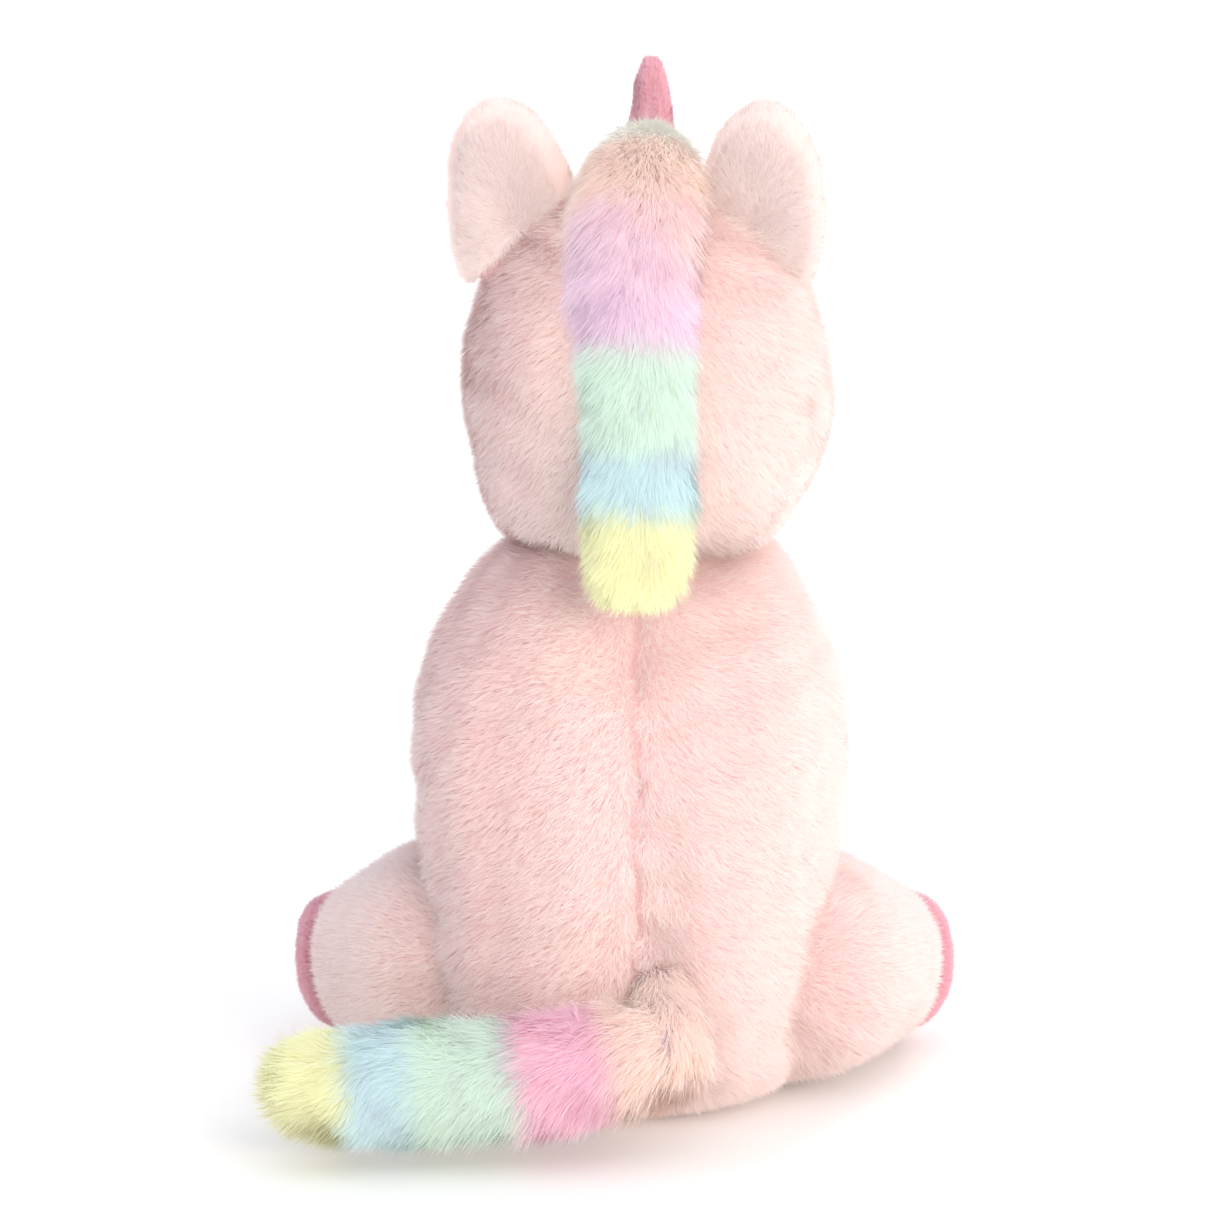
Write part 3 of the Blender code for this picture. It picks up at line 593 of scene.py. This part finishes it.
def build_head():
    muzzle = hull_mesh("muzzle", ball_points(MUZZLE_CENTRE, muzzle_radii))
    skin = skin_of("head_skin", [hull_mesh("head", HEAD_HULL_POINTS), muzzle], inset=PILE_ROOM, smooth=12)
    lumps = ripple(skin.points, 46 * MM, 5)[:, 1] * 0.8 * MM
    skin.move(skin.normals * lumps[:, None])
    skin.move(settled(skin.points) - skin.points)
    skin.move(fuller(skin.points))
    muzzle_centre = settled(MUZZLE_CENTRE[None])[0]

    def comb(roots, normals):
        snout = np.exp(-(((roots - muzzle_centre) / (muzzle_radii * 1.3)) ** 2).sum(1))[:, None]
        side = np.stack([np.tanh(roots[:, 0] / 0.015), np.zeros(len(roots)), np.zeros(len(roots))], 1)
        back = np.array([0.0, 1.0, 0.25])
        return (1 - snout) * (np.array([0.0, 0.25, -0.8]) + 0.8 * side) + snout * back

    eye_spots = [settled(node_points(n)).mean(0) for n in ("eye_left", "eye_right")]

    def bare(points):
        covered = BODY_HULL.depth(points) > 9 * MM
        under_eye = np.min([np.linalg.norm(points - spot, axis=1) for spot in eye_spots], 0) < 5.5 * MM
        return np.where(covered | under_eye, 0.0, 1.0)

    # Painted shade: in the crease where the head meets the body, the hairs take more of their darker root
    # colour.
    def deep(roots):
        return 0.05 * np.exp(-(((BODY_HULL.depth(roots) + 1 * MM) / (3 * MM)) ** 2))

    def shorter(roots):
        snout = np.exp(-(((roots - muzzle_centre) / (muzzle_radii * 1.1)) ** 2).sum(1))
        front = snout * smooth_step(-roots[:, 1], 0.050, 0.066)
        eyes = sum(np.exp(-((np.linalg.norm(roots - spot, axis=1) / 0.012) ** 2)) for spot in eye_spots)
        return (1 - 0.72 * np.clip(front, 0, 1)) * (1 - 0.35 * np.clip(eyes, 0, 1))

    zones = {
        "head_pile_left": lambda p: (p[:, 0] >= 0) & (p[:, 1] > -0.022),
        "head_pile_right": lambda p: (p[:, 0] < 0) & (p[:, 1] > -0.022),
        "head_pile_face": lambda p: p[:, 1] <= -0.022,
    }
    hidden = ("head_stuffing", "neck_wad", "eye_washer_left", "eye_washer_right")
    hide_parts(*HEAD_NODES, "muzzle_cover", *hidden)
    for number, (name, zone) in enumerate(zones.items()):
        weight = lambda points, zone=zone: bare(points) * zone(points)
        coat = grow(name, skin, 90000, SHORT_PILE, comb, PINK_PILE, 31 + number, weight, length=shorter,
                    deep=deep, smooth=painted_light_by_side)  # fmt: skip
        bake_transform(coat)
    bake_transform(skin.obj)


def build_face():
    """Glossy eyes, and embroidered nostrils and mouth.

    The embroidery stands clear of the muzzle's pile, because STITCH_LIFT carries it too far forward."""
    gloss, tree, shader = shader_material("eye_gloss", 0.08, specular=0.6)
    facing = tree.nodes.new("ShaderNodeLayerWeight")
    facing.inputs["Blend"].default_value = 0.35
    browns = [(0.0, linear("20100c")), (0.6, linear("2c1712")), (1.0, linear("0a0607"))]
    link(tree, ramp(tree, browns, facing.outputs["Facing"]), shader.inputs["Base Color"])
    for side in ("left", "right"):
        points = settled(node_points("eye_" + side))
        front = points[points[:, 1] < points[:, 1].min() + 9 * MM]
        centre = (front.min(0) + front.max(0)) / 2
        eye = hull_mesh("eye", ball_points(centre, (7.2 * MM, 6.2 * MM, 7.6 * MM), 40, 24))
        eye.shade_smooth()
        obj = link_mesh("eye_dome_" + side, eye, gloss)
        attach(obj, "head")
        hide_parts("eye_" + side)
    floss, tree, shader = shader_material("floss", 0.55, 0.4)
    place = tree.nodes.new("ShaderNodeTexCoord")
    twist = tree.nodes.new("ShaderNodeTexWave")
    twist.inputs["Scale"].default_value = 900
    link(tree, place.outputs["Object"], twist.inputs["Vector"])
    roses = [(0.0, linear("c4607c")), (1.0, linear("e088a0"))]
    link(tree, ramp(tree, roses, twist.outputs["Fac"]), shader.inputs["Base Color"])
    for node in ("nostril_left", "nostril_right", "mouth_stitch"):
        mesh = frame["nodes"][node].data.copy()
        obj = link_mesh(node + "_floss", mesh, floss)
        stitched = Skin(obj)
        lift = STITCH_LIFT + stitched.normals * 0.35 * MM
        stitched.move(settled(stitched.points) - stitched.points + lift)
        mesh.shade_smooth()
        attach(obj, "head")
        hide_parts(node)


def frame_joint(name):
    return Vector(next(j for j in frame["joints"] if j["name"] == name)["pos_m"])


def build_leg(leg, seed):
    """A leg's pink skin and its rose hoof, which has the sole on its end."""
    points = LEG_POINTS[leg]
    sole = node_points(leg + "_sole").mean(0)
    hip = np.array(frame_joint(leg + ("_raise" if leg.startswith("front") else "_spread")))
    hoof_middle = node_points(leg + "_hoof").mean(0)
    tip = unit(sole - hoof_middle)
    edge = (node_points(leg + "_cover") @ tip).max()
    skin = skin_of(leg + "_skin", [hull_mesh(leg, points)], inset=0.0, voxel=2.2 * MM)
    along = skin.points @ tip
    on_hoof = along > edge + 0.5 * MM
    slim = 0.0 if leg.startswith("front") else 1.8 * MM
    inset = np.where(on_hoof, 1.0 * MM + slim, PILE_ROOM + slim * smooth_step(along, edge - 0.035, edge))
    seam = np.exp(-(((along - edge) / (1.6 * MM)) ** 2))
    if not leg.startswith("front"):
        thigh = np.exp(-((np.linalg.norm(skin.points - hip, axis=1) / 0.046) ** 2))
        behind = smooth_step(skin.normals[:, 1], -0.1, 0.7)
        above = smooth_step(skin.points[:, 2], 0.03, 0.07)
        full = (7.0, 4.5) if leg.endswith("left") else (11.0, 0.5)
        inset = inset - (full[0] * behind + full[1] * above) * MM * thigh
    skin.move(-skin.normals * (inset + seam * 1.6 * MM)[:, None])
    if leg == "hind_leg_right":
        skin.move(RIGHT_LEG_BACK)
        edge += tip[1] * 5 * MM
    rest_on_floor(skin)
    mesh = skin.obj.data
    mesh.materials.append(ROSE_CLOTH)
    centres = np.empty(len(mesh.polygons) * 3, np.float32)
    mesh.polygons.foreach_get("center", centres)
    rose = (centres.reshape(-1, 3) @ tip > edge).astype(np.int32)
    mesh.polygons.foreach_set("material_index", rose)
    limb = unit(hoof_middle - hip)

    def comb(roots, normals):
        return np.tile(limb, (len(roots), 1))

    front = leg.startswith("front")

    def pink(p):
        buried = BODY_HULL.depth(p) > (3 if front else 8) * MM
        return (p @ tip < edge - 2.5 * MM) & ~buried

    def short_at_hoof(roots):
        return 1 - 0.45 * smooth_step(roots @ tip, edge - 0.008, edge - 0.002)

    coat = grow(leg + "_pile", skin, 50000 if front else 85000, SHORT_PILE, comb, PINK_PILE, seed, pink,
                length=short_at_hoof, smooth=lambda p: np.full(len(p), 0.35))  # fmt: skip
    nap = grow(leg + "_hoof_nap", skin, 22000 if front else 36000, VELOUR, comb, ROSE_PILE, seed + 1,
               lambda p: p @ tip >= edge - 1.0 * MM)  # fmt: skip
    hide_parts(*(leg + ending for ending in ("_cover", "_hoof", "_sole", "_stuffing")))
    for piece, slot in ((skin.obj, "pink_plush"), (coat, "pink_plush"), (nap, "rose_plush")):
        if front:
            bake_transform(piece)
        else:
            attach(piece, leg)


def build_ear(side, seed):
    body = "ear_" + side
    points = node_points("ear_back_" + side, "ear_lining_" + side)
    sign = 1 if side == "left" else -1
    root = np.array(frame_joint(body + "_fold"))
    up = unit(np.array([*points.mean(0)[:2], points[:, 2].max()]) - root)
    base = root - up * 0.006
    extra = ball_points(base, (0.016, 0.006, 0.012), 16, 8)
    whole = hull_mesh(body, np.concatenate([points, extra]))
    skin = skin_of(body + "_skin", [whole], voxel=2.0 * MM, smooth=5, inset=1.4 * MM)
    skin.move(settled(skin.points) + EAR_SHIFT - skin.points)
    if side == "left":
        lean = smooth_step(skin.points[:, 2], 0.256, 0.280)[:, None]
        widened = lean * 0.07 * (skin.points - skin.points.mean(0)) * np.array([1, 0, 0])
        skin.move(lean * np.array([2.6 * MM, 0, 0]) + widened)
    middle = skin.points.mean(0)
    lean_out = unit(np.array([sign * 0.35, 0.0, 1.0]))

    def comb(roots, normals):
        outward = unit(roots - middle) * np.array([1.0, 0.2, 1.0])
        return 0.7 * lean_out + 0.6 * outward

    reach = (skin.points.max(0) - skin.points.min(0)) / 2
    heart = (skin.points.max(0) + skin.points.min(0)) / 2

    def open_air(p):
        return HEAD_HULL.depth(p) < 2 * MM

    def lined(p):
        rim = ((p[:, 0] - heart[0]) / reach[0]) ** 2 + ((p[:, 2] - heart[2] + 3 * MM) / reach[2]) ** 2
        return (p[:, 1] < middle[1] - 1.0 * MM) & (rim < 0.62)

    coat = grow(body + "_pile", skin, 70000, EAR_PILE, comb, EAR_PAINTED_LIGHT_PILE, seed,
                lambda p: open_air(p) & ~lined(p))  # fmt: skip
    lining = grow(body + "_lining", skin, 36000, LINING_PILE, comb, ROSE_PILE, seed + 1,
                  lambda p: open_air(p) & lined(p))  # fmt: skip
    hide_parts("ear_back_" + side, "ear_lining_" + side)
    for piece, slot in ((skin.obj, "pink_plush"), (coat, "pink_plush"), (lining, "rose_plush")):
        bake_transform(piece)


def build_horn():
    """Crushed velour over a core, with wales that run to the tip and a seam behind."""
    points = node_points("horn_cover")
    pivot = np.array(frame_joint("horn_tilt"))
    top = points[points[:, 2] > points[:, 2].max() - 4 * MM].mean(0)
    axis = unit(top - pivot)
    foot = pivot - axis * 0.004
    extra = ball_points(foot, (0.0095, 0.0095, 0.003), 16, 6)
    horn = hull_mesh("horn", np.concatenate([points, extra]))
    skin = skin_of("horn_skin", [horn], ROSE_CLOTH, voxel=0.9 * MM, smooth=4, inset=0.3 * MM)
    rel = skin.points - foot
    along = rel @ axis
    side_axis = np.array([1.0, 0.0, 0.0])
    back_axis = np.cross(axis, side_axis)
    angle = np.arctan2(rel @ side_axis, rel @ back_axis)
    wales = np.cos(angle * 18 + 2.0 * np.sin(along / 0.011)) * 0.28 * MM
    from_seam = abs(angle) if back_axis[1] > 0 else math.pi - abs(angle)
    behind = np.exp(-((from_seam / 0.16) ** 2))
    crush = ripple(skin.points, 9 * MM, 8)[:, 0] * 0.25 * MM
    skin.move(skin.normals * (wales - behind * 0.9 * MM + crush)[:, None])

    def comb(roots, normals):
        return np.tile(axis, (len(roots), 1))

    skin.move(settled(skin.points) - skin.points)
    nap = grow("horn_nap", skin, 34000, HORN_VELOUR, comb, HORN_PILE, 71,
               lambda p: HEAD_HULL.depth(p) < 1 * MM)  # fmt: skip
    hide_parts("horn_cover", "horn_stuffing")
    for piece in (skin.obj, nap):
        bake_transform(piece)


def centre_line(points, key, steps):
    """A line through the middle of a long form, from slices along key, lowest first."""
    order = np.argsort(key)
    return np.array([points[chunk].mean(0) for chunk in np.array_split(order, steps)])


def eased(line, rounds=2):
    """The same line with its kinks taken out and its ends kept."""
    for _ in range(rounds):
        line = np.concatenate([line[:1], (line[:-2] + 2 * line[1:-1] + line[2:]) / 4, line[-1:]])
    return line


def line_place(line, points):
    """Each point's nearest place on a polyline: its share of the length, the spot and the direction."""
    steps = line[1:] - line[:-1]
    lengths = np.linalg.norm(steps, axis=1)
    reached = np.concatenate([[0], np.cumsum(lengths)])
    best = np.full(len(points), 1e9)
    share, spot, direction = np.zeros(len(points)), np.zeros((len(points), 3)), np.zeros((len(points), 3))
    for k, (start, step) in enumerate(zip(line[:-1], steps)):
        t = np.clip((points - start) @ step / lengths[k] ** 2, 0, 1)
        near = start + t[:, None] * step
        distance = np.linalg.norm(points - near, axis=1)
        closer = distance < best
        best[closer] = distance[closer]
        share[closer] = ((reached[k] + t * lengths[k]) / reached[-1])[closer]
        spot[closer], direction[closer] = near[closer], unit(step)
    return share, spot, direction


def tube_mesh(name, line, radii, wide=1.0, sides=14):
    """A closed tube along a line, wide in x by this much."""
    bm = bmesh.new()
    rings = []
    for k, (spot, radius) in enumerate(zip(line, radii)):
        ahead = unit(line[min(k + 1, len(line) - 1)] - line[max(k - 1, 0)])
        side_axis = unit(np.array([1.0, 0.0, 0.0]) - ahead * ahead[0])
        other = np.cross(ahead, side_axis)
        ring = []
        for a in np.linspace(0, 2 * math.pi, sides, endpoint=False):
            ring.append(bm.verts.new(spot + (side_axis * wide * math.cos(a) + other * math.sin(a)) * radius))
        rings.append(ring)
    for a, b in zip(rings, rings[1:]):
        for k in range(sides):
            bm.faces.new((a[k], a[(k + 1) % sides], b[(k + 1) % sides], b[k]))
    bm.faces.new(reversed(rings[0]))
    bm.faces.new(rings[-1])
    bmesh.ops.recalc_face_normals(bm, faces=bm.faces)
    mesh = bpy.data.meshes.new(name)
    bm.to_mesh(mesh)
    bm.free()
    return mesh


def band_dye(share, rng, soft):
    """Which dye a hair takes, with ragged edges between the bands."""
    ragged = share + soft * rng.normal(size=len(share))
    return np.clip(ragged, 0.01, 0.99)


def build_mane():
    strip, free_end = node_points("mane_strip"), node_points("mane_tip")
    around_head = lambda p: np.arctan2(p[:, 1] + 0.004, p[:, 2] - 0.205)
    upper = centre_line(strip, around_head(strip), 12)
    lower = centre_line(free_end, -free_end[:, 2], 6)
    line = np.concatenate([upper, lower])
    line[:, 0] = 0
    line = settled(eased(line))
    line = line[:-1]
    line[-1] = line[-2] * 0.45 + line[-1] * 0.55
    radii = np.full(len(line), 4.2 * MM)
    radii[:8] = np.array([1.8, 2.4, 3.2, 4.4, 5.4, 5.6, 5.2, 4.7]) * MM
    tube = tube_mesh("mane", line, radii, wide=1.9)
    skin = skin_of("mane_skin", [tube], MANE_CLOTH, voxel=1.6 * MM, smooth=3)

    def comb(roots, normals):
        share, spot, direction = line_place(line, roots)
        fan = (roots - spot) * np.array([1.0, 0.4, 0.4])
        drift = np.array([0.22, 0.0, -0.35])
        fan_out = (45 + 30 * smooth_step(share, 0.10, 0.30))[:, None] * fan
        return 0.75 * direction + fan_out + drift + 0.25 * ripple(roots, 22 * MM, 91)

    stops = [
        (0.0, CREAM), (0.145, CREAM), (0.207, PEACH), (0.29, PEACH), (0.35, PINK), (0.538, LILAC),
        (0.579, MINT), (0.713, MINT), (0.75, BLUE), (0.838, BLUE), (0.868, YELLOW), (1.0, YELLOW),
    ]  # fmt: skip
    look = pile_material("mane_pile", stops, LONG_SHADE, roughness=0.6, sheen=0.3)

    def dye(roots, rng):
        share = line_place(line, roots)[0]
        # Painted shade: in the middle band the hairs take more of the lilac dye on the toy's left, the shaded
        # side, and more of the pink dye on its right.
        middle = smooth_step(share, 0.31, 0.40) * (1 - smooth_step(share, 0.44, 0.53))
        return band_dye(share + 0.09 * middle * np.tanh(roots[:, 0] / 0.008), rng, 0.010)

    def outside(p):
        return HEAD_HULL.depth(p) < 1.5 * MM

    def flare(roots):
        share = line_place(line, roots)[0]
        left = smooth_step(roots[:, 0], 0.0, 0.008)
        bushy = 0.45 * left * np.exp(-(((share - 0.42) / 0.15) ** 2))
        return 0.78 + 0.22 * smooth_step(share, 0.12, 0.26) + bushy - 0.2 * smooth_step(share, 0.86, 1.0)

    # Painted light: near the crown the hairs take more of their light tip colour, so the top of the mane
    # looks lit.
    def crown_painted_light(roots):
        return -0.3 * (1 - smooth_step(line_place(line, roots)[0], 0.22, 0.34))

    quarters = {
        "mane_pile_top_left": lambda p: (p[:, 0] >= -1 * MM) & (p[:, 2] > MANE_SPLIT),
        "mane_pile_top_right": lambda p: (p[:, 0] < -1 * MM) & (p[:, 2] > MANE_SPLIT),
        "mane_pile_low_left": lambda p: (p[:, 0] >= -1 * MM) & (p[:, 2] <= MANE_SPLIT),
        "mane_pile_low_right": lambda p: (p[:, 0] < -1 * MM) & (p[:, 2] <= MANE_SPLIT),
    }
    coats = []
    for number, (name, quarter) in enumerate(quarters.items()):
        weight = lambda p, quarter=quarter: outside(p) & quarter(p)
        coats.append(grow(name, skin, 36000, LONG_PILE, comb, look, 81 + number, weight, dye=dye,
                          length=flare, deep=crown_painted_light))  # fmt: skip
    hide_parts("mane_strip", "mane_tip")
    for piece in (skin.obj, *coats):
        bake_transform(piece)


def build_tail():
    points = node_points("tail_cover")
    line = eased(centre_line(points, points[:, 0], 9))
    line[-1] -= unit(line[-1] - line[-2]) * 8 * MM
    line[:, 2] += 3 * MM
    root, bend = np.array([-0.007, 0.050, 0.046]), np.array([-0.008, 0.064, 0.034])
    line = eased(np.concatenate([[root, bend], line]), 1)
    radii = np.array([5.5, 8.4, 9.2, 9.2, 9.2, 9.3, 9.5, 9.5, 9.0, 7.8, 5.5]) * MM
    skin = skin_of("tail_skin", [tube_mesh("tail", line, radii)], MANE_CLOTH, voxel=2.0 * MM, smooth=4)
    first = unit(line[1] - line[0])

    def comb(roots, normals):
        return line_place(line, roots)[2] + 0.3 * ripple(roots, 25 * MM, 92)

    def not_root(p):
        return (p - line[0]) @ first > 1 * MM

    def lay(roots):
        return 0.45 * (1 - smooth_step(line_place(line, roots)[0], 0.05, 0.25))

    # Painted light: near the tail's root the hairs take more of their light tip colour, so the root looks
    # lit.
    def root_painted_light(roots):
        return -0.3 * (1 - smooth_step(line_place(line, roots)[0], 0.15, 0.35))

    def rooted(roots):
        return 0.65 + 0.35 * smooth_step(line_place(line, roots)[0], 0.03, 0.22)

    stops = [
        (0.0, PEACH), (0.27, PEACH), (0.32, TAIL_PINK), (0.48, TAIL_PINK), (0.52, MINT),
        (0.70, MINT), (0.735, BLUE), (0.85, BLUE), (0.885, YELLOW), (1.0, YELLOW),
    ]  # fmt: skip
    look = pile_material("tail_pile", stops, LONG_SHADE, roughness=0.6, sheen=0.3)

    def dye(roots, rng):
        return band_dye(line_place(line, roots)[0], rng, 0.012)

    halves = {
        "tail_pile_root": lambda p: not_root(p) & (p[:, 0] < TAIL_SPLIT),
        "tail_pile_end": lambda p: p[:, 0] >= TAIL_SPLIT,
    }
    coats = []
    for number, (name, half) in enumerate(halves.items()):
        coats.append(grow(name, skin, 50000, LONG_PILE, comb, look, 85 + number, half, dye=dye,
                          length=rooted, deep=root_painted_light, lay=lay))  # fmt: skip
    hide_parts("tail_cover", "tail_stuffing")
    for piece in (skin.obj, *coats):
        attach(piece, "tail")


def build_stage():
    floor, _, shader = shader_material("floor", 0.9)
    shader.inputs["Base Color"].default_value = (0.99, 0.95, 0.90, 1)
    shader.inputs["Emission Color"].default_value = (1, 0.97, 0.93, 1)
    shader.inputs["Emission Strength"].default_value = 0.12
    bm = bmesh.new()
    bmesh.ops.create_grid(bm, x_segments=1, y_segments=1, size=8.0)
    mesh = bpy.data.meshes.new("floor")
    bm.to_mesh(mesh)
    bm.free()
    ground = link_mesh("floor", mesh, floor)
    ground.location.z = -0.0003

    world = bpy.data.worlds.new("world")
    bpy.context.scene.world = world
    world.use_nodes = True
    tree = world.node_tree
    fill = tree.nodes["Background"]
    fill.inputs["Color"].default_value = (0.81, 0.89, 0.99, 1)
    fill.inputs["Strength"].default_value = 1.0
    backdrop = tree.nodes.new("ShaderNodeBackground")
    backdrop.inputs["Color"].default_value = (1, 1, 1, 1)
    backdrop.inputs["Strength"].default_value = 1.05
    seen, either = tree.nodes.new("ShaderNodeLightPath"), tree.nodes.new("ShaderNodeMixShader")
    link(tree, seen.outputs["Is Camera Ray"], either.inputs["Fac"])
    link(tree, fill.outputs["Background"], either.inputs[1])
    link(tree, backdrop.outputs["Background"], either.inputs[2])
    link(tree, either.outputs["Shader"], tree.nodes["World Output"].inputs["Surface"])

    def area(name, place, target, size, power, colour):
        lamp = bpy.data.lights.new(name, "AREA")
        lamp.shape, lamp.size, lamp.energy, lamp.color = "DISK", size, power, colour
        obj = bpy.data.objects.new(name, lamp)
        bpy.context.scene.collection.objects.link(obj)
        obj.location = place
        obj.rotation_euler = (Vector(target) - Vector(place)).to_track_quat("-Z", "Y").to_euler()

    area("key", (-1.25, 1.6, 1.2), (0, 0, 0.13), 1.2, 18.5, (1.0, 0.95, 0.87))
    area("front", (-0.9, -1.9, 1.1), (0, 0, 0.13), 0.9, 14, (1.0, 0.98, 0.96))

    scene = bpy.context.scene
    scene.view_settings.view_transform = "Standard"
    scene.view_settings.look = "None"
    camera = bpy.data.cameras.new("camera")
    holder = bpy.data.objects.new("camera", camera)
    scene.collection.objects.link(holder)
    azimuth, elevation, distance = math.radians(178), math.radians(14), 3.0
    level = math.cos(elevation)
    back = Vector((math.sin(azimuth) * level, -math.cos(azimuth) * level, math.sin(elevation)))
    target = Vector((0.0062, 0, 0.1402))
    holder.location = target + back * distance
    holder.rotation_euler = (-back).to_track_quat("-Z", "Y").to_euler()
    camera.sensor_width = 36
    camera.lens = 36 * distance / 0.342
    camera.clip_start, camera.clip_end = 0.1, 50
    scene.camera = holder


build_body()
build_head()
build_face()
for number, leg in enumerate(LEGS):
    build_leg(leg, 41 + 4 * number)
build_ear("left", 61)
build_ear("right", 64)
build_horn()
build_mane()
build_tail()
build_stage()
